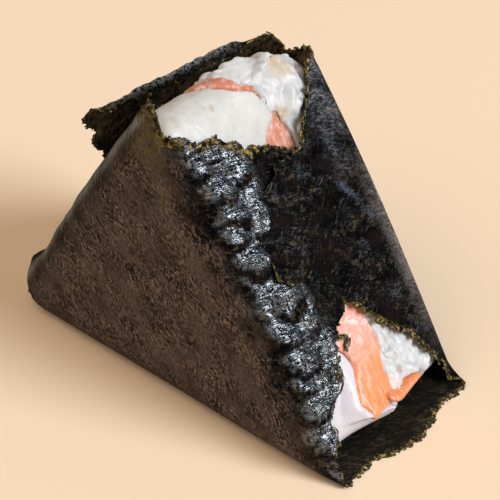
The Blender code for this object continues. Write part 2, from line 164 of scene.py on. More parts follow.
def rounded(thing, voxel, smoothings):
    """Give a shape even small faces, voxel millimetres wide, and smooth it."""
    add_modifier(thing, "REMESH", mode="VOXEL", voxel_size=voxel * MM)
    add_modifier(thing, "SMOOTH", factor=0.5, iterations=smoothings)


def add_shape(add, name="shape", **settings):
    """Add one of Blender's basic shapes as the only chosen thing."""
    bpy.ops.object.select_all(action="DESELECT")
    add(**settings)
    made = bpy.context.active_object
    made.name = made.data.name = name
    return made


def another(thing):
    made = thing.copy()
    made.data = thing.data.copy()
    bpy.context.scene.collection.objects.link(made)
    return made


def copy_of_node(node, name):
    """The solid model's own shape as a new piece, with its loose triangles joined."""
    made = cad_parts[node].copy()
    made.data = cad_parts[node].data.copy()
    made.name = made.data.name = name
    for key in list(made.keys()):
        del made[key]
    made.parent = None
    made.matrix_world = Matrix.Identity(4)
    bpy.context.scene.collection.objects.link(made)
    only(made)
    bpy.ops.object.mode_set(mode="EDIT")
    bpy.ops.mesh.select_all(action="SELECT")
    bpy.ops.mesh.remove_doubles(threshold=0.000002)
    bpy.ops.mesh.customdata_custom_splitnormals_clear()
    bpy.ops.object.mode_set(mode="OBJECT")
    return made


def join(pieces, name):
    bpy.ops.object.select_all(action="DESELECT")
    for piece in pieces:
        piece.select_set(True)
    bpy.context.view_layer.objects.active = pieces[0]
    bpy.ops.object.join()
    pieces[0].name = pieces[0].data.name = name
    return pieces[0]


def finish_piece(piece, material_slot, *nodes):
    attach(piece, "root")
    if nodes:
        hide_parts(*nodes)


# materials


class Finish:
    """A material's node tree with short ways to add to it."""

    def __init__(self, name):
        self.material = bpy.data.materials.new(name)
        self.material.use_nodes = True
        self.tree = self.material.node_tree
        self.shader = self.tree.nodes["Principled BSDF"]

    def add(self, kind, **values):
        node = self.tree.nodes.new(kind)
        for key, value in values.items():
            if key in node.inputs:
                node.inputs[key].default_value = value
            else:
                setattr(node, key, value)
        return node

    def link(self, output, target):
        self.tree.links.new(output, target)

    def done(self, colour, normal=None, **settings):
        """Join colour and bumps to the shader, set its other values, and give the material."""
        for value, target in ((colour, "Base Color"), (normal, "Normal")):
            if value is not None:
                self.link(value, self.shader.inputs[target])
        for key, value in settings.items():
            self.shader.inputs[key.replace("_", " ")].default_value = value
        return self.material

    def turned_and_scaled(self, place, turn, scale):
        turned = self.add("ShaderNodeMapping", Rotation=turn)
        scaled = self.add("ShaderNodeMapping", Scale=scale)
        self.link(place, turned.inputs["Vector"])
        self.link(turned.outputs["Vector"], scaled.inputs["Vector"])
        return scaled.outputs["Vector"]

    def sheet_place(self, turn=0.0, scale=(1, 1, 1), drift=0.0):
        """Places on the flat sheet, in millimetres, turned and then scaled; drift makes fibres curve."""
        uv = self.add("ShaderNodeUVMap", uv_map="UVMap")
        place = uv.outputs["UV"]
        if drift:
            wind = self.add("ShaderNodeTexNoise", Scale=9.0, Detail=2.0)
            self.link(place, wind.inputs["Vector"])
            moved = self.add("ShaderNodeVectorMath", operation="MULTIPLY_ADD")
            self.link(wind.outputs["Color"], moved.inputs[0])
            moved.inputs[1].default_value = (0.01 * drift,) * 3
            self.link(place, moved.inputs[2])
            place = moved.outputs["Vector"]
        return self.turned_and_scaled(place, (0, 0, turn), [100 * k for k in scale])

    def object_place(self, scale=(1, 1, 1), turn=(0, 0, 0)):
        """Places in the piece, in millimetres, turned and then scaled."""
        place = self.add("ShaderNodeTexCoord")
        return self.turned_and_scaled(place.outputs["Object"], turn, [1000 * k for k in scale])

    def noise(self, place, scale, detail=3.0, roughness=0.6, distortion=0.0):
        node = self.add("ShaderNodeTexNoise", Scale=scale, Detail=detail, Roughness=roughness,
                        Distortion=distortion)
        self.link(place, node.inputs["Vector"])
        return node.outputs["Fac"]

    def ramp(self, value, stops):
        node = self.add("ShaderNodeValToRGB")
        ramp = node.color_ramp
        while len(ramp.elements) < len(stops):
            ramp.elements.new(1.0)
        for element, (at, colour) in zip(ramp.elements, stops):
            element.position = at
            element.color = (*colour, 1.0) if isinstance(colour, tuple) else (colour,) * 3 + (1.0,)
        self.link(value, node.inputs["Fac"])
        return node.outputs["Color"]

    def mix(self, fac, a, b, blend="MIX"):
        node = self.add("ShaderNodeMix", data_type="RGBA", blend_type=blend)
        for target, value in (("Factor", fac), ("A", a), ("B", b)):
            inputs = [i for i in node.inputs if i.name == target and i.enabled]
            if isinstance(value, bpy.types.NodeSocket):
                self.link(value, inputs[0])
            elif isinstance(value, tuple):
                inputs[0].default_value = (*value, 1.0)
            else:
                inputs[0].default_value = value
        return [o for o in node.outputs if o.enabled][0]

    def maths(self, operation, a, b=0.0, c=0.0):
        node = self.add("ShaderNodeMath", operation=operation)
        for target, value in zip(node.inputs, (a, b, c)):
            if isinstance(value, bpy.types.NodeSocket):
                self.link(value, target)
            else:
                target.default_value = value
        return node.outputs["Value"]

    def times(self, a, b):
        return self.maths("MULTIPLY", a, b)

    def total(self, *parts):
        """The sum of some values, each times its own weight."""
        value = self.times(*parts[-1])
        for part, weight in reversed(parts[:-1]):
            value = self.maths("ADD", self.times(part, weight), value)
        return value

    def painted(self, name):
        return self.add("ShaderNodeAttribute", attribute_name=name).outputs["Fac"]

    def bump(self, height, distance, strength=1.0, below=None):
        node = self.add("ShaderNodeBump", Strength=strength, Distance=distance)
        self.link(height, node.inputs["Height"])
        if below is not None:
            self.link(below, node.inputs["Normal"])
        return node.outputs["Normal"]


# the sheet of seaweed


def crease_x(z):
    return BASE / 2 * (1 - z / HEIGHT)


def bend(past, radius, turn):
    """Where a point past a crease lies: how far along the first panel, and how far in from it."""
    half_arc = radius * turn / 2
    angle = np.clip((past + half_arc) / radius, 0, turn)
    before = np.minimum(past + half_arc, 0)
    rest = np.maximum(past - half_arc, 0)
    along = radius * np.sin(angle) - radius * np.tan(turn / 2) + before + rest * np.cos(turn)
    return along, radius * (1 - np.cos(angle)) + rest * np.sin(turn)


def tuck(x, z, raised):
    """The sheet hugs the block's round corner at the left end of the base."""
    half_angle = (math.pi / 2 - LEAN) / 2
    centre_x = -(BASE / 2 - TUCK_RADIUS / math.tan(half_angle))
    arm_x, arm_z = x - centre_x, z - TUCK_RADIUS
    out = -arm_x * COS_LEAN + arm_z * SIN_LEAN
    length = np.hypot(arm_x, arm_z)
    reach = np.minimum(np.maximum(-arm_z, out), TUCK_RADIUS + raised + 0.1)
    between = (arm_x <= 0) & (arm_x * SIN_LEAN + arm_z * COS_LEAN <= 0) & (length > 1e-6)
    scale = reach / np.maximum(length, 1e-6)
    x = np.where(between, centre_x + arm_x * scale, x)
    return x, np.where(between, TUCK_RADIUS + arm_z * scale, z)


def fold(u, v):
    """Where the points of the flat sheet come to lie, u across the sheet and v along it."""
    side = np.where(u >= 0, 1.0, -1.0)
    front = v < 0
    down, inward = bend(DEPTH / 2 - np.abs(v), FOLD_RADIUS, math.pi / 2)
    x, z = np.abs(u), -down
    lift = ease(12.0, 60.0, z)
    lifted = (side < 0) & ~front
    turn = math.pi / 2 - LIFTED_BY * lift * lifted
    radius = np.clip(1.05 * crease_x(z), 1.0, FOLD_RADIUS)
    past = (x - crease_x(z)) * COS_LEAN
    along, over = bend(past, radius, turn)
    raised = ease(0.0, 6.0, past) * (LAYER_STEP - 1.12 * near_seam(u, v)) * ~front
    raised += FRONT_LEFT_PUFF * lift * np.sin(math.pi * np.clip(past / 18, 0, 1)) * ((side < 0) & front)
    raised += OPEN_EDGE_LIFT * ease(38.0, 45.0, x) * ease(44.0, 30.0, z) * ((side > 0) & front)
    raised += lobe(past, z) * (side < 0)
    raised += flap_lip(u, v) * ((side > 0) & ~front)
    k = ease(0.0, FOLD_RADIUS, z)
    shift = (along + raised - past) * k * ease(0.0, 0.6 * crease_x(z) + 0.5, x)
    x = (x + shift * COS_LEAN) * side
    z = z + shift * SIN_LEAN
    y = DEPTH / 2 - inward - over * k + FOLD_RADIUS * (1 - math.pi / 4) * ease(14.0, 0.0, np.abs(v))
    tucked_x, tucked_z = tuck(x, z, raised)
    x, z = np.where(side < 0, tucked_x, x), np.where(side < 0, tucked_z, z)
    t = np.clip(z / HEIGHT, 0, 1)
    across = np.clip(1 - (2 * x / BASE) ** 2, 0, 1)
    x = x * (1 + SIDE_BOW * 8 * t / BASE)
    y = y * (1 + FACE_BOW * 8 * t * (1 - t) * across / DEPTH)
    return np.stack([x, np.where(front, -y, y), z], axis=-1)


def lobe(past, z):
    """The left flap bulges out a little beside the bottom corner."""
    return 2.3 * np.exp(-(((past - 5.5) / 3.2) ** 2) - ((z - 10.0) / 4.2) ** 2)


def near_seam(u, v):
    """How close a point of the upper flap is to its edge over the lower flap, from 0 to 1."""
    at_end = ease(7.0, 1.0, look_up(BACK_END, u) + DEPTH / 2 - v) * ease(33.0, 41.0, u)
    at_side = ease(41.0, 45.0, u) * ease(54.0, 60.0, v) * ease(69.0, 66.0, v)
    return np.maximum(at_end, at_side)


def flap_lip(u, v):
    """The upper flap's edge stands off the lower flap a little along the seam."""
    along_side = ease(5.0, 0.5, 46.0 - u) * ease(73.0, 77.0, v)
    return 0.5 * along_side * (0.7 + 0.3 * cloud(u, v, 6.0, 21))


def torn_outline(u, v):
    """Move the points of the flat rectangle so that its outline is the torn sheet's."""
    front = v < 0
    length = DEPTH / 2 + np.where(front, FRONT_LENGTH, BACK_LENGTH)
    worn = 3.0
    a = np.clip((np.abs(u) - (SHEET_HALF_WIDTH - worn)) / worn, 0, 1)
    b = np.clip((np.abs(v) - (length - worn)) / worn, 0, 1)
    sign_u, sign_v = np.sign(u), np.sign(v)
    round_u = sign_u * a * (np.sqrt(1 - b * b / 2) - 1) * worn
    round_v = sign_v * b * (np.sqrt(1 - a * a / 2) - 1) * worn
    end = DEPTH / 2 + np.where(front, look_up(FRONT_END, u), look_up(BACK_END, u))
    # the lifted flap's end is rolled in, which takes up some of the sheet
    end = end + rolled(u) * (ROLL_LENGTH - ROLL_RADIUS) * ~front
    new_v = v + sign_v * (end - length) * ease(length - 14, length, np.abs(v)) + round_v
    further = look_up(RIGHT_SIDE, new_v) - SHEET_HALF_WIDTH
    new_u = u + further * ease(SHEET_HALF_WIDTH - 9, SHEET_HALF_WIDTH, u) + round_u
    # the tear: coarse and fine noise along each edge, fading inwards
    side_fade = ease(SHEET_HALF_WIDTH - 3.0, SHEET_HALF_WIDTH, np.abs(u))
    end_fade = ease(length - 3.0, length, np.abs(v))
    tear_u = 0.5 * cloud(v, sign_u * 9, 2.6, 1) + 0.35 * cloud(v, u, 1.1, 2) + 0.25 * cloud(v, u, 0.5, 13)
    tear_v = 0.5 * cloud(u, sign_v * 9, 2.4, 3) + 0.35 * cloud(u, v, 1.0, 4) + 0.25 * cloud(u, v, 0.5, 14)
    # the lifted flap's side ends in small spikes
    spiky = (u < 0) * ease(38.0, 48.0, v)
    tear_u = tear_u + spiky * (0.4 + 0.9 * cloud(v, 0 * u, 0.9, 17) * (0.6 + 0.4 * cloud(v, 0 * u, 2.3, 18)))
    new_u = new_u + sign_u * (tear_u - 0.2) * side_fade
    new_v = new_v + sign_v * (tear_v - 0.2) * end_fade
    # uneven cells, so that the crumbled edge doesn't run in steps
    new_u = new_u + 0.13 * (2 * scatter(u, v, 15) - 1) * side_fade ** 0.3
    new_v = new_v + 0.13 * (2 * scatter(u, v, 16) - 1) * end_fade ** 0.3
    return new_u, new_v


def rolled(u):
    """How tightly the lifted flap's end is rolled, from 0 to 1."""
    return ease(-44.0, -36.0, u) * ease(-7.0, -13.0, u)


def roll_start(u):
    """How far along the sheet the lifted flap begins to roll in."""
    return DEPTH / 2 + look_up(BACK_END, u) + rolled(u) * (ROLL_LENGTH - ROLL_RADIUS) - ROLL_LENGTH


def unit(arrows):
    return arrows / np.maximum(np.linalg.norm(arrows, axis=1, keepdims=True), 1e-9)


def lay(u, v):
    """Fold the sheet, and roll the end of its lifted back flap over towards the rice."""
    start = roll_start(u)
    foot = fold(u, start)
    up = (fold(u, start + NUDGE) - foot) / NUDGE
    out = unit(np.cross(up, (fold(u + NUDGE, start) - foot) / NUDGE))
    radius = ROLL_RADIUS / np.maximum(rolled(u), 1e-3)
    angle = np.clip((v - start) / radius, 0, math.pi)
    turned = foot + up * (radius * np.sin(angle))[:, None] - out * (radius * (1 - np.cos(angle)))[:, None]
    chosen = (v > start) & (u < -4) & (v > 0)
    return np.where(chosen[:, None], turned, fold(u, v))


def domes(u, v, pitch_u, pitch_v, half_u, half_v, seed, spread=1.0):
    """Where grains press through: soft long bumps from 0 to 1, each turned its own way."""
    height = np.zeros_like(u)
    column, row = np.floor(u / pitch_u), np.floor(v / pitch_v)
    for beside in (-1, 0, 1):
        for above in (-1, 0, 1):
            i, j = column + beside, row + above
            at_u = (i + 0.5 + 0.7 * (scatter(i, j, seed) - 0.5)) * pitch_u
            at_v = (j + 0.5 + 0.7 * (scatter(i, j, seed + 1) - 0.5)) * pitch_v
            angle = spread * (scatter(i, j, seed + 2) - 0.5)
            tall = 0.45 + 0.55 * scatter(i, j, seed + 3)
            du, dv = u - at_u, v - at_v
            p = (du * np.cos(angle) + dv * np.sin(angle)) / half_u
            q = (dv * np.cos(angle) - du * np.sin(angle)) / half_v
            height = np.maximum(height, tall * np.clip(1 - p * p - q * q, 0, 1) ** 0.8)
    return height


# how far past the right crease the seaweed is pressed onto the rice, by height
PRESSED = ((0.0, 3.5), (8.9, 5.0), (14.6, 9.0), (22.0, 12.5), (29.0, 13.2), (31.0, 12.0), (38.6, 12.4),
           (45.0, 12.0), (51.0, 12.0), (57.0, 13.4), (64.0, 13.0))


# the lumps of rice under that strip: where on the sheet, how far they reach across and down it, and
# how high they stand
LUMPS = ((10.1, -78.4, 3.2, 2.2, 0.8), (15.1, -74.8, 3.8, 2.9, 1.2), (18.6, -70.9, 3.8, 2.3, 1.1),
         (18.9, -66.7, 3.2, 2.0, 0.9), (23.9, -62.7, 3.5, 3.3, 1.3), (30.8, -55.9, 4.2, 4.0, 1.5),
         (30.6, -49.2, 4.2, 2.8, 1.0), (34.4, -44.6, 5.2, 3.3, 1.1), (34.3, -39.4, 3.8, 1.8, 0.8),
         (38.0, -35.4, 3.8, 2.7, 1.0), (40.0, -28.9, 3.8, 3.1, 1.1), (19.2, -79.0, 3.0, 2.8, 0.8),
         (24.5, -71.0, 3.0, 3.2, 0.5), (36.5, -51.5, 2.6, 2.6, 0.6), (27.0, -57.6, 2.2, 2.2, 0.4))


# pale bluish streaks on the right flap, painted sheen along its fibres with one small painted highlight:
# where on the sheet, how far they reach and how strong they are
SHEEN_STREAKS = ((26.4, 66.0, 1.3, 4.5, 0.9), (27.4, 59.5, 1.1, 3.4, 0.7), (28.7, 77.8, 2.2, 3.0, 0.5),
           (19.8, 73.5, 2.6, 4.0, 0.5), (44.6, 67.0, 0.6, 1.0, 1.6), (42.5, 72.0, 1.6, 3.0, 0.35),
           (38.0, 47.0, 3.0, 4.0, 0.35), (34.0, 57.5, 1.6, 3.0, 0.4))


def bumps_at(rows, u, v, blunt=1.0):
    """Round bumps: where each is, how far it reaches both ways, and how high it stands."""
    height = np.zeros_like(u)
    for at_u, at_v, half_u, half_v, tall in rows:
        p, q = (u - at_u) / half_u, (v - at_v) / half_v
        height = np.maximum(height, tall * np.clip(1 - p * p - q * q, 0, 1) ** blunt)
    return height


def strip_band(u, v):
    """The part of the front right flap that is pressed onto the rice, from 0 to 1."""
    z = -v - DEPTH / 2
    past = (u - crease_x(z)) * COS_LEAN
    end = look_up(PRESSED, z) + 0.8 * cloud(u, v, 3.0, 22)
    start = -3.0 * ease(18.0, 5.0, z) * ease(-1.0, 3.0, z)
    return ease(start - 1.2, start + 1.2, past) * ease(end + 0.9, end - 0.9, past) * (u > 0) * (v < 0)


def relief(u, v):
    """How far the sheet stands out from the smooth fold, in millimetres."""
    z = np.abs(v) - DEPTH / 2
    past = (np.abs(u) - crease_x(z)) * COS_LEAN
    strip = strip_band(u, v)
    low_part = ease(38.0, 26.0, z)
    # the pressed strip runs down beside the crease: a is across it and b is down it
    a = past
    b = (HEIGHT - z) / COS_LEAN + 0.35 * a
    small = domes(a, b, 2.2, 1.7, 1.6, 0.95, 30)
    ridge_wave = b + 0.35 * a * low_part + 0.8 * cloud(a, b, 3.2, 5) + 0.4 * cloud(a, b, 1.3, 6)
    ridges = 1 - np.abs(np.sin(math.pi * ridge_wave / 2.0))
    on_strip = bumps_at(LUMPS, u, v, 0.7) + 0.30 * small + (0.16 + 0.26 * low_part) * ridges
    on_strip += 0.16 * cloud(a, b, 1.4, 23)
    h = strip * on_strip
    flap = ease(2.0, 7.0, past) * (1 - strip) * (1 - 0.7 * near_seam(u, v) * (v > 0))
    flap = flap * (1 - 0.6 * ease(16.0, 20.0, past) * (v < 0))
    h = h + flap * (0.34 * domes(u, v, 6.5, 5.0, 4.2, 2.8, 40) + 0.12 * cloud(u, v, 1.7, 7))
    panel = ease(1.0, -5.0, past)
    h = h + panel * (0.22 * cloud(u, v, 13.0, 8) + 0.12 * cloud(u, v, 4.0, 9) + 0.07 * cloud(u, v, 1.6, 24))
    crease = np.exp(-((past / 2.2) ** 2)) * (u < 0)
    h = h + crease * (0.35 * cloud(z, 0 * u, 6.0, 10) + 0.2 * cloud(z, u * 0.3, 2.5, 25))
    # the ends are crumpled
    length = DEPTH / 2 + np.where(v < 0, look_up(FRONT_END, u), look_up(BACK_END, u))
    near_end = ease(5.0, 0.5, length - np.abs(v))
    near_side = ease(SHEET_HALF_WIDTH - 4.5, SHEET_HALF_WIDTH, np.abs(u))
    frayed = np.maximum(near_end, near_side)
    h = h + frayed * (0.30 * cloud(u, v, 2.2, 26) + 0.22 * cloud(u, v, 0.9, 27))
    # nothing sinks into the table or stands out of the base
    return h * ease(1.0, 5.0, z)


def edge_places(half, step_count):
    """Grid lines from -half to half, close together near both ends."""
    band = np.arange(0, EDGE_BAND - 0.01, EDGE_CELL)
    inner = np.linspace(-half + EDGE_BAND, half - EDGE_BAND, step_count + 1)
    return np.concatenate([-half + band, inner, (half - band)[::-1]])


def nori_marks(u, v, from_edge, rise):
    """A number for each point of the sheet, by the names under which its materials read them."""
    z = np.abs(v) - DEPTH / 2
    past = (np.abs(u) - crease_x(z)) * COS_LEAN
    seam = ease(26.0, 30.0, u) * ease(53.0, 58.0, v)
    strip = strip_band(u, v)
    # the undersides of the lumps are dull and dark; their upper sides take the gloss and a painted bluish
    # reflection
    dull = 0.40 - 0.13 * ease(26.0, 14.0, z) + 0.03 * ease(30.0, 38.0, z) * ease(54.0, 46.0, z)
    # the rolled end shines along its crest, where a pale bluish highlight is painted
    crest_way = v - roll_start(u)
    crest = rolled(u) * ease(-8.0, -18.0, u) * (v > 0)
    crest_shine = 0.75 * crest * np.exp(-(((crest_way + 0.8) / 2.4) ** 2))
    patchy = past + 1.8 * cloud(u, v, 3.2, 61) + 0.9 * cloud(u, v, 1.2, 62)
    # painted sheen: a pale grey-brown rim down the right flap's outer edge
    rim = ease(6.5 - 0.8 * ease(40.0, 30.0, z), 1.5, past) * ease(4.0, 26.0, z) * ease(48.0, 36.0, z)
    # how far in the gold goes: further at the top, by the corner opening and on the right side's tongue
    gold_reach = 0.9 + 2.0 * ease(-70.0, -80.0, v) * ease(28.0, 20.0, u) - 0.5 * (u < 20) * (v > 0)
    gold_reach = gold_reach + 0.5 * (u > 30) * ease(24.0, 18.0, np.abs(v))
    gold_reach = gold_reach + 0.7 * (u > 40) * (v > 24) * (v < 60)
    gold_reach = gold_reach + 1.0 * (v > 72) * ease(-6.0, -1.0, u) * ease(15.0, 9.0, u)
    tongue = ease(43.0, 45.0, u) * ease(65.0, 67.0, v) * ease(78.0, 75.0, v)
    return {
        "from_edge": from_edge,
        "seam": seam,
        "strip": strip,
        "shine": crest_shine + strip * ease(dull, dull + 0.12, rise),
        "front_panel": ease(0.3, -5.2, np.where(u > 0, patchy, past)) * (v < 0) * ease(-1.0, 2.0, z),
        # painted sheen: a pale grey rim where the sheet turns round the left crease
        "left_crease_sheen": np.exp(-(((past - 0.5) / 1.35) ** 2)) * ease(-2.0, 2.0, z) * (u < 1) * (v < 0),
        "olive_tone": ease(-70.0, -84.0, v) * ease(8.0, 1.0, np.abs(u)),
        "crest": crest * np.exp(-(((crest_way - 0.6) / 0.8) ** 2)),
        "inner": ease(58.0, 72.0, v),
        "right_rim_sheen": rim * ease(-3.0, 0.0, past) * (u > 0) * (v > 0),
        "streaks": bumps_at(SHEEN_STREAKS, u, v),
        # painted shade: a darker, smoother reddish band along the foot of the front, where the sheet curves
        # under
        "foot": ease(4.5, 0.5, z) * ease(36.0, 24.0, u) * (np.abs(past + 60) < 59) * (v < 0),
        # painted sheen: grey-blue tones near the top of the right flap
        "sheen_haze": ease(12.0, 6.0, past) * ease(43.0, 60.0, z) * (u > 0) * (v > 0),
        "gold_reach": gold_reach * (1 - 0.9 * seam) + 0.45 * tongue,
    }


def make_nori(inside, outside, rim):
    across = edge_places(SHEET_HALF_WIDTH, int((2 * SHEET_HALF_WIDTH - 2 * EDGE_BAND) / INNER_CELL))
    whole = DEPTH + FRONT_LENGTH + BACK_LENGTH
    along = edge_places(whole / 2, int((whole - 2 * EDGE_BAND) / INNER_CELL))
    along = along + (BACK_LENGTH - FRONT_LENGTH) / 2
    nori = add_shape(bpy.ops.mesh.primitive_grid_add, "nori_wrap", x_subdivisions=len(across) - 1,
                     y_subdivisions=len(along) - 1, size=2)
    grid = read_points(nori)
    i = np.rint((grid[:, 0] + 1) / 2 * (len(across) - 1)).astype(int)
    j = np.rint((grid[:, 1] + 1) / 2 * (len(along) - 1)).astype(int)
    flat_u, flat_v = across[i], along[j]
    u, v = torn_outline(flat_u, flat_v)

    places = lay(u, v)
    out = unit(np.cross(lay(u, v + NUDGE) - places, lay(u + NUDGE, v) - places))
    places = places + out * relief(u, v)[:, None]
    places[:, 2] += NORI_THICK / 2
    write_points(nori, places * MM)
    facing = read_normals(nori)
    facing *= np.sign((facing * out).sum(axis=1, keepdims=True))

    length = DEPTH / 2 + np.where(flat_v < 0, FRONT_LENGTH, BACK_LENGTH)
    from_edge = np.minimum(SHEET_HALF_WIDTH - np.abs(flat_u), length - np.abs(flat_v))
    marks = nori_marks(u, v, from_edge, facing[:, 2])
    for name, values in marks.items():
        paint(nori, name, values)
    uv = np.empty(len(nori.data.loops) * 2, np.float32)
    corner = np.empty(len(nori.data.loops), np.int32)
    nori.data.loops.foreach_get("vertex_index", corner)
    uv[0::2], uv[1::2] = u[corner] * 0.01, v[corner] * 0.01
    nori.data.uv_layers["UVMap"].data.foreach_set("uv", uv)

    crumb_spots = frayed_spots(places, out, from_edge, marks["seam"])
    nibble(nori, flat_u, flat_v, from_edge, marks["seam"])
    dress(nori, inside, outside, rim)
    add_modifier(nori, "SOLIDIFY", thickness=NORI_THICK * MM, offset=0.0, material_offset=1,
                 material_offset_rim=2)
    only(nori)
    bpy.ops.object.shade_smooth()
    return nori, crumb_spots


def nibble(nori, flat_u, flat_v, from_edge, seam):
    """Crumble the sheet's edge: bits are missing in its last millimetre or so."""
    bm = bmesh.new()
    bm.from_mesh(nori.data)
    bm.verts.ensure_lookup_table()
    holes = []
    for face in bm.faces:
        index = [vert.index for vert in face.verts]
        depth = from_edge[index].mean() + 0.9 * seam[index].mean()
        if depth > 1.4:
            continue
        at_u, at_v = flat_u[index].mean(), flat_v[index].mean()
        crumble = cloud(at_u, at_v, 1.0, 11) * 0.6 + cloud(at_u, at_v, 0.42, 12) * 0.6
        if crumble > -0.12 + depth * 0.75:
            holes.append(face)
    bmesh.ops.delete(bm, geom=holes, context="FACES")
    # keep only what still hangs together with the sheet
    bm.verts.ensure_lookup_table()
    start = min(bm.verts, key=lambda vert: vert.co.length)
    kept = {start}
    rim = [start]
    while rim:
        vert = rim.pop()
        for edge in vert.link_edges:
            other = edge.other_vert(vert)
            if other not in kept and edge.link_faces:
                kept.add(other)
                rim.append(other)
    bmesh.ops.delete(bm, geom=[vert for vert in bm.verts if vert not in kept], context="VERTS")
    border = [vert for vert in bm.verts if vert.is_boundary]
    bmesh.ops.smooth_vert(bm, verts=border, factor=0.35, use_axis_x=True, use_axis_y=True, use_axis_z=True)
    bm.to_mesh(nori.data)
    bm.free()


def frayed_spots(places, out, from_edge, seam):
    """Where crumbs of seaweed cling: near the torn edges, and hardly on the seam."""
    draw = np.random.default_rng(3)
    likely = 0.085 * ease(2.4, 0.2, from_edge) * (1 - seam)
    likely *= 0.5 + 0.5 * ease(12.0, 25.0, places[:, 2]) + 0.5 * (places[:, 0] > 30)
    chosen = np.flatnonzero(draw.random(len(places)) < likely)
    spots = []
    for index in chosen:
        away = draw.uniform(-0.30, 0.32)
        spots.append((places[index] + out[index] * away, out[index], 1.0))
    return spots


# two torn shreds at the corner opening, one curled like a hook and one flat: where they pass
SHREDS = (((32.6, -6.0, 21.8), (32.3, -4.4, 21.6), (32.4, -3.4, 20.8), (33.1, -3.9, 19.8),
           (33.6, -5.2, 19.2)),
          ((35.8, -11.3, 20.2), (36.4, -10.8, 19.3), (37.3, -11.2, 17.9), (37.0, -11.8, 18.3),
           (36.2, -11.4, 19.4)))


def shred_spots():
    out = np.array((0.82, 0.0, 0.57))
    return [(np.array(start) * (1 - part) + np.array(end) * part + out * 0.5, out, 1.7)
            for way in SHREDS for start, end in zip(way, way[1:]) for part in (0.0, 0.2, 0.4, 0.6, 0.8)]


def make_crumbs(spots):
    """Loose flakes along the torn edges, each a small uneven scale."""
    draw = np.random.default_rng(4)
    pattern = add_shape(bpy.ops.mesh.primitive_ico_sphere_add, subdivisions=1, radius=1)
    shape = read_points(pattern)
    crumbs = []
    for number, (spot, out, large) in enumerate(spots):
        crumb = another(pattern) if number else pattern
        size = large * draw.uniform(0.16, 0.5)
        size = size * np.array([1.0, draw.uniform(0.5, 0.9), draw.uniform(0.2, 0.45)])
        ragged = shape * (1 + 0.35 * draw.uniform(-1, 1, (len(shape), 1))) * size
        lean = Vector(out) + Vector(draw.normal(0, 0.45, 3))
        turned = lean.to_track_quat("Z", "X") @ Matrix.Rotation(draw.uniform(0, 6.28), 3, "Z").to_quaternion()
        placed = ragged @ np.array(turned.to_matrix()).T + spot
        placed[:, 2] = np.maximum(placed[:, 2], 0.02)
        write_points(crumb, placed * MM)
        crumbs.append(crumb)
    return join(crumbs, "nori_crumbs")


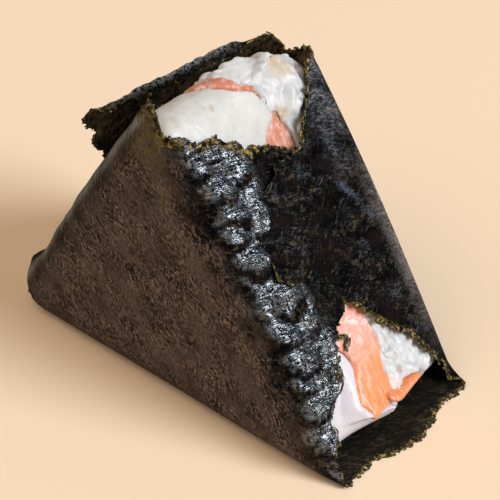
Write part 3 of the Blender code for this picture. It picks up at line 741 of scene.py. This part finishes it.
def nori_finish(name, outside):
    finish = Finish(name)
    mix, ramp, times, painted = finish.mix, finish.ramp, finish.times, finish.painted

    def pattern(turn, across, along, drift=0.0, **settings):
        place = finish.sheet_place(turn=math.radians(turn), scale=(across, along, 1), drift=drift)
        return finish.noise(place, 1.0, **settings)

    # the fibres of the sheet run mostly one way, down the front's right crease
    fibres = pattern(-58, 0.42, 1.7, drift=5.0, detail=4, roughness=0.75, distortion=0.5)
    hairs = pattern(-48, 1.5, 4.2, drift=5.0, detail=2, roughness=0.6, distortion=0.8)
    strokes = pattern(-62, 1.1, 3.0, drift=6.0, detail=3, roughness=0.7, distortion=0.4)
    mottle = pattern(0, 0.55, 0.55, detail=4, roughness=0.7, distortion=0.4)
    flecks = pattern(-64, 1.1, 1.7, detail=3, roughness=0.7)
    patches = pattern(-60, 0.10, 0.17, detail=3, roughness=0.6)
    calm = pattern(-50, 0.13, 0.20, drift=4.0, detail=2, roughness=0.5)
    specks = pattern(0, 0.8, 0.8, detail=3, roughness=0.75)
    weave = finish.total((fibres, 0.40), (hairs, 0.24), (mottle, 0.14), (patches, 0.22))
    if outside:
        strip = painted("strip")
        panel = painted("front_panel")
        # the front is brown, in places smooth and in others full of fine dark strokes
        busy = ramp(calm, [(0.44, 1.0), (0.60, 0.25)])
        brown = ramp(patches, [(0.36, (0.080, 0.056, 0.050)), (0.60, (0.128, 0.097, 0.088))])
        light = ramp(weave, [(0.43, 0.05), (0.49, 0.64), (0.54, 1.0)])
        light = mix(busy, (0.75, 0.75, 0.75), light)
        brown = mix(1.0, brown, light, "MULTIPLY")
        dark = times(busy, ramp(strokes, [(0.41, 1.0), (0.475, 0.0)]))
        brown = mix(dark, brown, (0.010, 0.008, 0.007))
        pale = times(busy, ramp(strokes, [(0.52, 0.0), (0.60, 0.95)]))
        brown = mix(pale, brown, (0.262, 0.194, 0.165))
        tinge = times(ramp(mottle, [(0.53, 0.0), (0.66, 0.55)]),
                      ramp(patches, [(0.44, 0.1), (0.58, 1.0)]))
        brown = mix(tinge, brown, (0.150, 0.112, 0.052))
        # painted shade along the foot of the front, where it curves under
        brown = mix(painted("foot"), brown, (0.058, 0.036, 0.030))
        black = ramp(weave, [(0.46, (0.0006, 0.0005, 0.0008)), (0.515, (0.0022, 0.0020, 0.0027)),
                             (0.555, (0.013, 0.0125, 0.015)), (0.60, (0.062, 0.062, 0.068))])
        threads = pattern(8, 0.42, 2.6, drift=5.0, detail=3, roughness=0.65, distortion=0.5)
        threads = times(ramp(threads, [(0.56, 0.0), (0.68, 0.9)]),
                        ramp(mottle, [(0.46, 0.05), (0.57, 1.0)]))
        black = mix(threads, black, (0.078, 0.079, 0.078))
        reddish = ramp(calm, [(0.50, 0.0), (0.60, 0.7)])
        black = mix(reddish, black, (0.009, 0.0055, 0.005))
        # painted grey-blue sheen near the top of the right flap
        sheen_tones = ramp(weave, [(0.44, (0.004, 0.004, 0.006)), (0.49, (0.034, 0.036, 0.041)),
                             (0.53, (0.105, 0.108, 0.115)), (0.58, (0.22, 0.222, 0.23))])
        black = mix(painted("sheen_haze"), black, sheen_tones)
        # painted bluish sheen in streaks along the right flap's fibres, and one painted highlight
        streaks = finish.total((painted("streaks"), 0.25), (weave, 0.8), (hairs, 0.5))
        streaks = times(ramp(streaks, [(0.73, 0.0), (0.90, 0.9)]),
                        ramp(painted("streaks"), [(0.0, 0.0), (0.25, 1.0)]))
        black = mix(streaks, black, (0.085, 0.098, 0.125))
        # olive specks gather in places
        gathered = times(ramp(patches, [(0.46, 0.08), (0.60, 1.0)]),
                         ramp(hairs, [(0.42, 0.2), (0.55, 1.0)]))
        olive = times(ramp(specks, [(0.53, 0.0), (0.64, 1.0)]), gathered)
        black = mix(olive, black, (0.095, 0.073, 0.030))
        rare = ramp(specks, [(0.66, 0.0), (0.70, 1.0)])
        brown = mix(rare, brown, (0.21, 0.155, 0.055))
        # painted bluish reflection on the upward, lit sides of the lumps and along the rolled crest
        bluish = ramp(flecks, [(0.42, (0.001, 0.001, 0.002)), (0.50, (0.018, 0.034, 0.052))])
        black = mix(painted("shine"), black, bluish)
        black = mix(times(strip, olive), black, (0.100, 0.080, 0.028))
        colour = mix(panel, black, brown)
        colour = mix(0.8, colour, ramp(flecks, [(0.36, 0.22), (0.48, 1.0)]), "MULTIPLY")
        # places with painted light or a tone of their own, each broken up by one of the patterns: the olive
        # tone is the sheet's own, the pale left crease and right rim are painted sheen, and the crest is a
        # painted highlight
        for mark, texture, stops, tone in (
                ("olive_tone", mottle, [(0.40, 0.1), (0.58, 0.9)], (0.115, 0.090, 0.038)),
                ("left_crease_sheen", weave, [(0.42, 0.15), (0.54, 0.85)], (0.26, 0.265, 0.255)),
                ("right_rim_sheen", weave, [(0.44, 0.10), (0.54, 0.80)], (0.190, 0.163, 0.150)),
                ("crest", flecks, [(0.46, 0.03), (0.54, 1.0)], (0.34, 0.40, 0.44))):
            amount = times(painted(mark), ramp(texture, stops))
            colour = mix(amount, colour, tone)
    else:
        colour = ramp(weave, [(0.44, (0.0012, 0.0009, 0.0007)), (0.515, (0.007, 0.005, 0.0028)),
                              (0.58, (0.048, 0.034, 0.017))])
        fibrous = times(painted("inner"), ramp(weave, [(0.46, 0.0), (0.55, 0.9)]))
        colour = mix(fibrous, colour, (0.150, 0.110, 0.060))
    # the torn edge is thin and lets an olive gold through
    reach = times(painted("gold_reach"), times(flecks, 2.0))
    gold = finish.maths("SUBTRACT", 1.0, finish.maths("DIVIDE", painted("from_edge"), reach))
    gold = finish.maths("MINIMUM", times(finish.maths("MAXIMUM", gold, 0.0), 3.0), 0.95)
    colour = mix(gold, colour, gold_tones(finish, specks))

    wrinkles = pattern(-25, 0.4, 0.8, detail=2, roughness=0.5, distortion=1.0)
    if not outside:
        normal = finish.bump(fibres, 0.00007, below=finish.bump(wrinkles, 0.00025))
        return finish.done(colour, normal, Roughness=0.7, Specular_IOR_Level=0.15)

    # the strip pressed onto the rice is glossy, as if varnished
    shine = times(painted("shine"), ramp(flecks, [(0.40, 0.05), (0.49, 1.0)]))
    shine = times(shine, finish.maths("SUBTRACT", 1.0, times(gold, 0.7)))
    finish.link(shine, finish.shader.inputs["Coat Weight"])
    # and has tight wrinkles, mostly across it
    tight = pattern(20, 0.22, 0.95, detail=2, roughness=0.4, distortion=1.4)
    normal = finish.bump(times(tight, strip), 0.00075)
    for texture, depth in ((wrinkles, 0.00025), (fibres, 0.00007), (hairs, 0.00003)):
        normal = finish.bump(texture, depth, below=normal)
    # its varnish leans a little towards the light
    across = finish.add("ShaderNodeSeparateXYZ")
    finish.link(finish.sheet_place(), across.inputs["Vector"])
    finish.link(finish.bump(across.outputs["X"], 0.00014, below=normal), finish.shader.inputs["Coat Normal"])
    return finish.done(colour, normal, Roughness=0.62, Specular_IOR_Level=0.02, Coat_Roughness=0.13,
                       Coat_IOR=2.1)


def gold_tones(finish, specks):
    """Dark olive to gold, as thin torn seaweed shows."""
    return finish.ramp(specks, [(0.41, (0.004, 0.003, 0.002)), (0.49, (0.034, 0.025, 0.010)),
                                (0.55, (0.12, 0.085, 0.026)), (0.63, (0.42, 0.315, 0.095))])


def torn_rim_finish():
    finish = Finish("nori_torn_rim")
    specks = finish.noise(finish.sheet_place(scale=(1.3, 1.3, 1)), 1.0, detail=3)
    seam = finish.painted("seam")
    colour = finish.mix(seam, gold_tones(finish, specks), (0.020, 0.017, 0.015))
    return finish.done(colour, Roughness=0.65)


def crumb_finish():
    finish = Finish("nori_crumbs")
    specks = finish.noise(finish.object_place(), 0.9, detail=3, roughness=0.7)
    return finish.done(gold_tones(finish, specks), Roughness=0.5)


# rice

# how far apart the grains lie along a row, and the rows from each other
GRAIN_PITCH = 2.1
ROW_PITCH = 1.75


def spot_of(finish, place, centre, radius):
    """1 at centre and 0 from radius on, both in millimetres in the piece."""
    away = finish.add("ShaderNodeVectorMath", operation="DISTANCE")
    finish.link(place, away.inputs[0])
    away.inputs[1].default_value = centre
    return finish.ramp(finish.maths("DIVIDE", away.outputs["Value"], radius), [(0.35, 1.0), (1.0, 0.0)])


def tint(finish, place, colour, *spots):
    """Tint round spots of a colour, each with its centre, radius, strength and tone."""
    for centre, radius, strength, tone in spots:
        amount = finish.times(spot_of(finish, place, centre, radius), strength)
        colour = finish.mix(amount, colour, tone)
    return colour


def rice_finish():
    finish = Finish("cooked_rice")
    place = finish.object_place()
    soft = finish.noise(place, 0.28, detail=3)
    grainy = finish.noise(place, 0.55, detail=2)
    colour = finish.ramp(soft, [(0.3, (0.54, 0.535, 0.53)), (0.7, (0.69, 0.685, 0.68))])
    # two whiter spots at the top: painted light, lifting the shade that the wrapper's edges cast on the rice
    colour = tint(finish, place, colour, ((-1.5, 3.0, 64.0), 5.5, 0.9, (0.84, 0.84, 0.86)),
                  ((5.6, 15.6, 60.4), 3.4, 0.9, (0.84, 0.84, 0.86)))
    colour = finish.mix(0.5, colour, finish.ramp(grainy, [(0.35, 0.86), (0.6, 1.0)]), "MULTIPLY")
    colour = tint(finish, place, colour, ((2.6, 11.2, 62.0), 4.2, 0.75, (0.66, 0.50, 0.33)),
                  ((8.0, 6.3, 57.0), 2.2, 0.85, (0.55, 0.43, 0.30)),
                  ((41.0, 1.8, 9.4), 2.6, 0.75, (0.93, 0.60, 0.52)))
    tiny = finish.bump(finish.noise(place, 1.6, detail=3), 0.00018, strength=0.6)
    return finish.done(colour, tiny, Roughness=0.36, Subsurface_Weight=0.4, Subsurface_Scale=1.0,
                       Subsurface_Radius=(0.0017, 0.0015, 0.0012), Specular_IOR_Level=0.45)


def grain_points(ball, draw):
    """A grain about the origin, long along x: plump, a little bent, with blunt ends."""
    half = (draw.uniform(1.6, 2.2), draw.uniform(0.95, 1.15), draw.uniform(0.9, 1.1))
    sag = draw.uniform(-0.2, 0.2)
    along = ball[:, 0]
    points = ball.copy()
    points[:, 1:] *= (1 - 0.22 * np.abs(along) ** 2)[:, None]
    points = points * np.array(half)
    points[:, 1] += sag * along ** 2
    return points


def visible_rice_places():
    """Spots, outward directions and turns for grains where the rice shows."""
    draw = np.random.default_rng(5)
    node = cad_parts["rice"]
    surface = BVHTree.FromPolygons([v.co / MM for v in node.data.vertices],
                                   [tuple(p.vertices) for p in node.data.polygons])
    # each fan of rays: its middle, how far out the rice is, its first and last angle, and whether
    # the angles count from straight up
    fans = ((Vector((0, 0, 46.0)), 17.0, -75, 75, True),
            (Vector((27.0, 0, 9.0)), 15.0, -30, 75, False),
            (Vector((-27.0, 0, 9.0)), 15.0, 105, 210, False))
    found = []
    for centre, reach, low, high, from_top in fans:
        step = math.degrees(GRAIN_PITCH / reach)
        for row in range(-11, 12):
            degree = low + (row % 2) * step / 2
            while degree < high:
                y = row * ROW_PITCH + draw.uniform(-0.5, 0.5)
                angle = math.radians(degree + draw.uniform(-3, 3))
                degree += step
                if from_top:
                    out = Vector((math.sin(angle), 0, math.cos(angle)))
                else:
                    out = Vector((math.cos(angle), 0, math.sin(angle)))
                spot, normal, _, _ = surface.ray_cast(Vector((centre.x, y, centre.z)) + out * 60, -out)
                turn = draw.uniform(0, math.pi)
                if spot is None or abs(spot.y) > 20.2 or spot.z < 1.8:
                    continue
                if covered_by_nori(spot.x, spot.y, spot.z, margin=-1.5):
                    continue
                if spot.x > -12 and spot.y < salmon_back(spot.x, spot.z) + 1.3:
                    continue
                found.append((spot, normal, turn))
    return found


def make_rice():
    draw = np.random.default_rng(6)
    pattern = add_shape(bpy.ops.mesh.primitive_ico_sphere_add, subdivisions=2, radius=1)
    pattern.data.shade_smooth()
    ball = read_points(pattern)
    fused, loose = [], []
    for spot, normal, turn in visible_rice_places():
        upright = normal.to_track_quat("Z", "X") @ Matrix.Rotation(turn, 3, "Z").to_quaternion()
        turned = np.array(upright.to_matrix())
        proud = draw.random() < 0.15 and spot.z > 30
        sunk = draw.uniform(-0.55, -0.3) if proud else draw.uniform(-0.7, -0.3)
        grain = another(pattern)
        centre = np.array(spot + normal * sunk)
        points = grain_points(ball, draw) @ turned.T + centre
        points[:, 2] = np.maximum(points[:, 2], 0.5)
        write_points(grain, points * MM)
        (loose if proud else fused).append(grain)
    bpy.data.objects.remove(pattern, do_unlink=True)

    caps = [rice_cap("top", (0, 0, 47.0), (0, 0, 1)), rice_cap("right", (23.0, 0, 0), (1, 0, 0)),
            rice_cap("left", (-25.0, 0, 0), (-1, 0, 0))]
    sticky = join(caps + fused, "rice_sticky")
    rounded(sticky, voxel=0.36, smoothings=3)
    grains = join(loose, "rice_grains")
    for piece in (sticky, grains):
        wander(piece, "rice")
    block = copy_of_node("rice", "rice_block")
    rounded(block, voxel=0.9, smoothings=3)
    points = read_points(block)
    write_points(block, points - read_normals(block) * 0.25 * MM)
    for piece in (sticky, block):
        piece.data.shade_smooth()
    return block, sticky, grains


def rice_cap(name, place, outwards):
    """The end of the rice block beyond a plane, closed where it is cut."""
    cap = copy_of_node("rice", "rice_cap_" + name)
    only(cap)
    bpy.ops.object.mode_set(mode="EDIT")
    bpy.ops.mesh.select_all(action="SELECT")
    bpy.ops.mesh.bisect(plane_co=[k * MM for k in place], plane_no=outwards, use_fill=True, clear_inner=True)
    bpy.ops.object.mode_set(mode="OBJECT")
    return cap


def soften(piece, height, size, seed):
    """Make a surface gently uneven."""
    points = read_points(piece) / MM
    bumps = cloud(points[:, 1] + 0.3 * points[:, 0], points[:, 2] + 0.4 * points[:, 0], size, seed)
    write_points(piece, (points + read_normals(piece) * (height * bumps)[:, None]) * MM)


def covered_by_nori(x, y, z, margin):
    """Whether the sheet lies over this point of a slanted side, or comes closer than margin."""
    for front in (True, False):
        from_crease = (DEPTH / 2 + y) if front else (DEPTH / 2 - y)
        sheet_z = z + from_crease * math.tan(LEAN) * COS_LEAN
        sheet_u = crease_x(sheet_z) + from_crease / COS_LEAN
        end = float(look_up(FRONT_END if front else BACK_END, math.copysign(sheet_u, x)))
        if sheet_u < SHEET_HALF_WIDTH + margin and sheet_z < end + margin:
            return True
    return False


def cheese_back(x, z):
    """How far back the cheese reaches in the solid model, where the salmon begins."""
    at_top = np.clip(-2.6 + 0.8 * (x - 1), -6.0, 4.0)
    at_corner = -3.0 - 5.2 * ease(15.0, 5.0, z)
    return at_corner + (at_top - at_corner) * ease(26.0, 50.0, z)


def salmon_back(x, z):
    """How far back the salmon reaches, where the rice begins."""
    return cheese_back(x, z) + 6.2 - 4.2 * ease(18.0, 50.0, z)


# cheese and salmon


def cheese_finish():
    finish = Finish("cream_cheese")
    place = finish.object_place()
    soft = finish.noise(place, 0.14, detail=3)
    streaks = finish.noise(finish.object_place(scale=(1, 1, 0.25)), 0.45, detail=3)
    colour = finish.ramp(soft, [(0.3, (0.535, 0.515, 0.475)), (0.65, (0.640, 0.622, 0.590))])
    height = finish.add("ShaderNodeSeparateXYZ")
    finish.link(place, height.inputs["Vector"])
    low = finish.ramp(finish.maths("DIVIDE", height.outputs["Z"], 62.0), [(0.35, 1.0), (0.55, 0.0)])
    colour = finish.mix(low, colour, (0.68, 0.64, 0.665))
    marks = finish.ramp(streaks, [(0.26, 0.55), (0.40, 0.0)])
    colour = finish.mix(marks, colour, (0.50, 0.46, 0.38))
    for centre, radius in (((1.9, -17.8, 64.3), 2.2), ((3.6, -8.3, 63.4), 1.1), ((4.9, -9.6, 62.0), 0.8)):
        spot = finish.times(spot_of(finish, place, centre, radius),
                            finish.ramp(streaks, [(0.42, 0.2), (0.52, 0.8)]))
        colour = finish.mix(spot, colour, (0.47, 0.41, 0.31))
    tiny = finish.bump(finish.noise(place, 0.9, detail=3), 0.00020, strength=0.6)
    return finish.done(colour, tiny, Roughness=0.40, Subsurface_Weight=0.35, Subsurface_Scale=1.0,
                       Subsurface_Radius=(0.0018, 0.0015, 0.0010))


def salmon_finish():
    finish = Finish("salmon")
    place = finish.object_place()
    grain = finish.object_place(scale=(1, 2.2, 0.4), turn=(0.1, 0.5, 0.2))
    lines = finish.noise(grain, 0.5, detail=3, distortion=0.5)
    height = finish.add("ShaderNodeSeparateXYZ")
    finish.link(place, height.inputs["Vector"])
    # deep coral at the top, pink and then orange at the corner
    up = finish.maths("DIVIDE", height.outputs["Z"], 62.0)
    flesh = finish.ramp(up, [(0.08, (0.82, 0.30, 0.19)), (0.13, (0.83, 0.26, 0.075)),
                             (0.23, (0.84, 0.29, 0.12)), (0.31, (0.86, 0.37, 0.28)),
                             (0.42, (0.87, 0.38, 0.31)), (0.75, (0.575, 0.21, 0.125))])
    fat = finish.ramp(lines, [(0.57, 0.0), (0.72, 0.6)])
    colour = finish.mix(fat, flesh, (0.94, 0.72, 0.64))
    blush = finish.noise(place, 0.55, detail=3, roughness=0.6)
    blush = finish.times(finish.ramp(blush, [(0.50, 0.0), (0.60, 0.8)]),
                         finish.ramp(up, [(0.24, 0.1), (0.36, 1.0), (0.5, 0.5), (0.8, 0.35)]))
    colour = finish.mix(blush, colour, (0.93, 0.76, 0.72))
    deep = finish.ramp(lines, [(0.28, 0.65), (0.42, 0.0)])
    colour = finish.mix(deep, colour, (0.72, 0.17, 0.05))
    flakes = finish.bump(lines, 0.0004, strength=0.6)
    return finish.done(colour, flakes, Roughness=0.34, Subsurface_Weight=0.3, Subsurface_Scale=1.0,
                       Subsurface_Radius=(0.002, 0.0009, 0.0005))


# how far the layers wander from straight lines where they show: at the top by how far right, at the
# corner by height, each time the salmon's front face and then its back one
TOP_WANDER = ((-2.1, -1.8, 0.6), (1.1, -1.2, -0.4), (3.0, -0.4, -1.1), (3.6, 0.6, -0.9),
              (4.2, 2.3, 0.3), (7.6, 2.2, 0.6), (8.4, 0.6, 0.0), (9.0, -0.8, 0.0), (10.1, -1.8, 0.0))
CORNER_WANDER = ((7.5, 0.0, 1.9), (8.9, -0.3, 1.5), (10.6, -2.2, 1.4), (12.8, -1.6, 1.5), (15.4, -0.5, 1.3),
                 (17.5, -1.4, 0.8), (18.8, -2.5, 0.5), (20.0, -4.0, 0.2), (22.0, -6.0, 0.0))


def off_line(x, z, top, column):
    """How far back a face of the salmon is shifted: column 1 is the front face and 2 the back one."""
    at_corner = look_up(CORNER_WANDER, z, column) * (1 - top) * ease(24.0, 30.0, x)
    return look_up(TOP_WANDER, x, column) * top + at_corner


def wander(piece, layer):
    """Shift a layer's faces to and fro, and let the block's lower right corner curl under."""
    points = read_points(piece) / MM
    x, y, z = points.T
    front, back = cheese_back(x, z), salmon_back(x, z)
    top = ease(30.0, 48.0, z)
    at_front, at_back = off_line(x, z, top, 1), off_line(x, z, top, 2)
    corner = ease(30.0, 37.0, x)
    if layer == "cheese":
        shift = at_front * ease(-9.0, -0.3, y - front)
        # it spreads over the salmon's lower end
        shift = shift + 7.5 * ease(8.4, 6.2, z) * corner * ease(-9.0, -0.3, y - front)
    elif layer == "salmon":
        part = np.clip((y - front) / (back - front), 0, 1)
        shift = at_front * (1 - part) + at_back * part
        x = x - 6.5 * ease(7.6, 5.8, z) * corner - 1.0 * ease(4.3, 5.2, x) * top
        z = z + 0.92 * np.clip(7.1 - z, 0, 8) * corner
        # at the top of the corner opening it comes up to the surface
        out = x * COS_LEAN + z * SIN_LEAN
        lift = np.clip(38.3 - out, 0, 3) * ease(34.2, 35.6, out) * ease(19.0, 21.5, z) * ease(31.0, 27.0, z)
        x, z = x + lift * COS_LEAN, z + lift * SIN_LEAN
    elif layer == "flake":
        # the loose bit curls along the foot of the rice and stands out of it a little
        x = x + 1.0
        z = 5.6 + 0.82 * (z - 5.0) + 4.2 * ease(5.5, -1.0, y) - 0.4 * ease(6.0, 10.0, y)
        shift = -1.6 * ease(6.0, 0.0, y)
    else:
        shift = at_back * ease(6.0, 0.3, y - back)
    x = x - (1.2 if layer == "cheese" else 3.4) * ease(7.0, 1.0, z) * corner
    # the rice stays under the top of the wrapper, swells at its right edge and leaves room for the flake
    if layer == "rice":
        beside = y - 0.75 * (z - 58)
        swell = 1.5 * ease(54.5, 57.0, z) * ease(67.5, 63.5, z) * ease(6.5, 9.5, beside)
        swell = swell * ease(14.6, 13.4, beside - 2.2 * ease(54.0, 60.0, z))
        x, z = x + 0.84 * swell, z + 0.54 * swell
        beside = ((y - 4.8) / 7.0) ** 2 + ((z - 5.4 - 0.1 * (y - 5.6)) / 2.2) ** 2
        x = x - 1.2 * np.sqrt(np.clip(1 - beside, 0, 1)) * corner
        z = np.where(z > 64.5, 64.5 + 0.4 * (z - 64.5), z)
    write_points(piece, np.stack([x, y + shift, z], axis=-1) * MM)


def soft_copy(node, name, voxel, proud, lump, seed):
    """A node's shape, rounded and made uneven as soft food is."""
    piece = copy_of_node(node, name)
    rounded(piece, voxel, smoothings=4)
    points = read_points(piece) / MM
    write_points(piece, (points + read_normals(piece) * proud) * MM)
    soften(piece, lump, 5.0, seed)
    soften(piece, 0.5 * lump, 2.0, seed + 1)
    wander(piece, {"cream_cheese": "cheese", "salmon_corner_flake": "flake"}.get(node, "salmon"))
    add_modifier(piece, "SMOOTH", factor=0.5, iterations=12 if node == "cream_cheese" else 3)
    piece.data.shade_smooth()
    return piece


# camera, lights and table

# the camera's turn and height in degrees, its distance back, right and up, what that is measured
# from, and its lens and film width
CAMERA_TURN = 39.97
CAMERA_HEIGHT = 38.7
CAMERA_PLACE = (328.0, 4.66, 18.2)
CAMERA_FROM = (0, -0.5, 0.25)
CAMERA_LENS = 111.24
CAMERA_FILM = 36
# each lamp's place and size in metres, power and colour
LAMPS = {"key": ((3.86, 1.034, 2.695), 2.4, 250.0, (0.88, 0.965, 1.06)),
         "warm_overhead": ((-0.66, -1.98, 3.96), 5.28, 100.0, (1.0, 0.82, 0.64))}
LAMPS_AIM = (0, 0, 0.03)
ROOM_COLOUR = (1.0, 0.88, 0.76, 1)
ROOM_STRENGTH = 0.18
TABLE_COLOUR = (0.932, 0.728, 0.531, 1)
TABLE_SIZE = 3.0


def make_stage():
    bpy.context.scene.view_settings.view_transform = "Standard"
    table = add_shape(bpy.ops.mesh.primitive_plane_add, "table", size=TABLE_SIZE, location=(0, 0, 0))
    finish = Finish("pale_table")
    dress(table, finish.done(None, Base_Color=TABLE_COLOUR, Roughness=1.0, Specular_IOR_Level=0.0))

    azimuth, elevation = math.radians(CAMERA_TURN), math.radians(CAMERA_HEIGHT)
    back = Vector((math.sin(azimuth) * math.cos(elevation), -math.cos(azimuth) * math.cos(elevation),
                   math.sin(elevation)))
    right = Vector((math.cos(azimuth), math.sin(azimuth), 0))
    up = back.cross(right)
    far_back, far_right, far_up = CAMERA_PLACE
    place = (back * far_back + right * far_right + up * far_up + Vector(CAMERA_FROM)) * MM
    bpy.ops.object.camera_add(location=place)
    camera = bpy.context.active_object
    camera.name = "photo_camera"
    camera.matrix_world = Matrix.Translation(place) @ Matrix((right, up, back)).transposed().to_4x4()
    camera.data.sensor_width = CAMERA_FILM
    camera.data.lens = CAMERA_LENS
    camera.data.clip_start = 0.01
    bpy.context.scene.camera = camera

    for name, lamp in LAMPS.items():
        add_light(name, *lamp)
    world = bpy.data.worlds.new("soft_room")
    bpy.context.scene.world = world
    world.use_nodes = True
    room = world.node_tree.nodes["Background"]
    room.inputs["Color"].default_value = ROOM_COLOUR
    room.inputs["Strength"].default_value = ROOM_STRENGTH


def add_light(name, place, size, power, colour):
    bpy.ops.object.light_add(type="AREA", location=place)
    lamp = bpy.context.active_object
    lamp.name = lamp.data.name = name
    lamp.data.shape = "DISK"
    lamp.data.size = size
    lamp.data.energy = power
    lamp.data.color = colour
    lamp.rotation_euler = (Vector(LAMPS_AIM) - Vector(place)).to_track_quat("-Z", "Y").to_euler()


def dress(piece, *finishes):
    piece.data.materials.clear()
    for finish in finishes:
        piece.data.materials.append(finish)


def build():
    make_stage()

    nori, crumb_spots = make_nori(nori_finish("nori_inside", False), nori_finish("nori_outside", True),
                                  torn_rim_finish())
    finish_piece(nori, "nori", "nori_sheet")
    crumbs = make_crumbs(crumb_spots + shred_spots())
    dress(crumbs, crumb_finish())
    finish_piece(crumbs, "nori")

    block, sticky, grains = make_rice()
    rice = rice_finish()
    for piece in (block, sticky, grains):
        dress(piece, rice)
    finish_piece(block, "rice", "rice")
    finish_piece(sticky, "rice")
    finish_piece(grains, "rice")

    cheese = soft_copy("cream_cheese", "cheese", voxel=0.45, proud=0.15, lump=0.18, seed=60)
    dress(cheese, cheese_finish())
    finish_piece(cheese, "cream_cheese", "cream_cheese")

    salmon = salmon_finish()
    for node, name in (("salmon_strip", "salmon_slice"), ("salmon_top_flake", "salmon_bit_top"),
                       ("salmon_corner_flake", "salmon_bit_corner")):
        piece = soft_copy(node, name, voxel=0.35, proud=0.4, lump=0.15, seed=70)
        dress(piece, salmon)
        finish_piece(piece, "salmon", node)


build()
